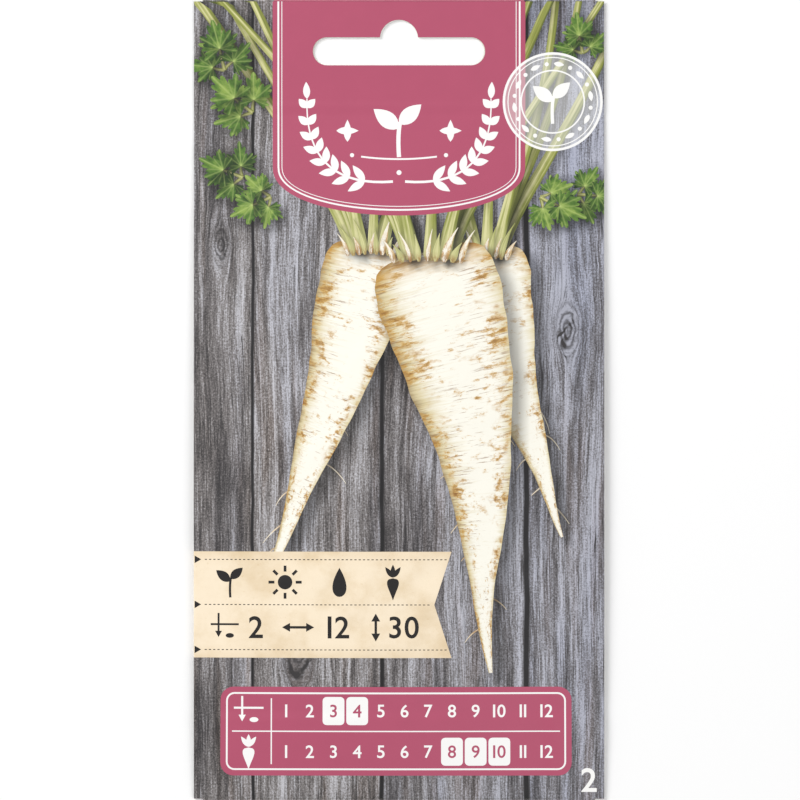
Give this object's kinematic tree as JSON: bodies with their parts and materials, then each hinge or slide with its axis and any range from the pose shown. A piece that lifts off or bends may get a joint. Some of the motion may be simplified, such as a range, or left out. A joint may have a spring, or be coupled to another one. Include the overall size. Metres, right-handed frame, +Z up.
{
  "type": "seed packet",
  "caption": "Filled paper seed packet with a glued header and a euro slot, lying flat on its back; it holds loose vegetable seed for sowing.",
  "frame": {"origin": "on the surface under the packet, midway between its side creases and between its ends", "axes": "+X to the reader's right, +Y towards the top of the packet with the hanging slot, +Z up through the printed front"},
  "size_m": [0.082, 0.16, 0.0047],
  "materials": {
    "printed_paper": "satin",
    "back_paper": "matte",
    "adhesive": "gloss",
    "seed": "matte"
  },
  "bodies": {
    "root": {"front_panel": "printed_paper", "back_panel": "back_paper", "side_seam_flap": "back_paper", "bottom_flap": "back_paper", "top_flap": "back_paper", "side_seam_glue": "adhesive", "bottom_flap_glue": "adhesive", "top_flap_glue": "adhesive", "header_glue": "adhesive", "seed_bed": "seed"}
  },
  "joints": []
}
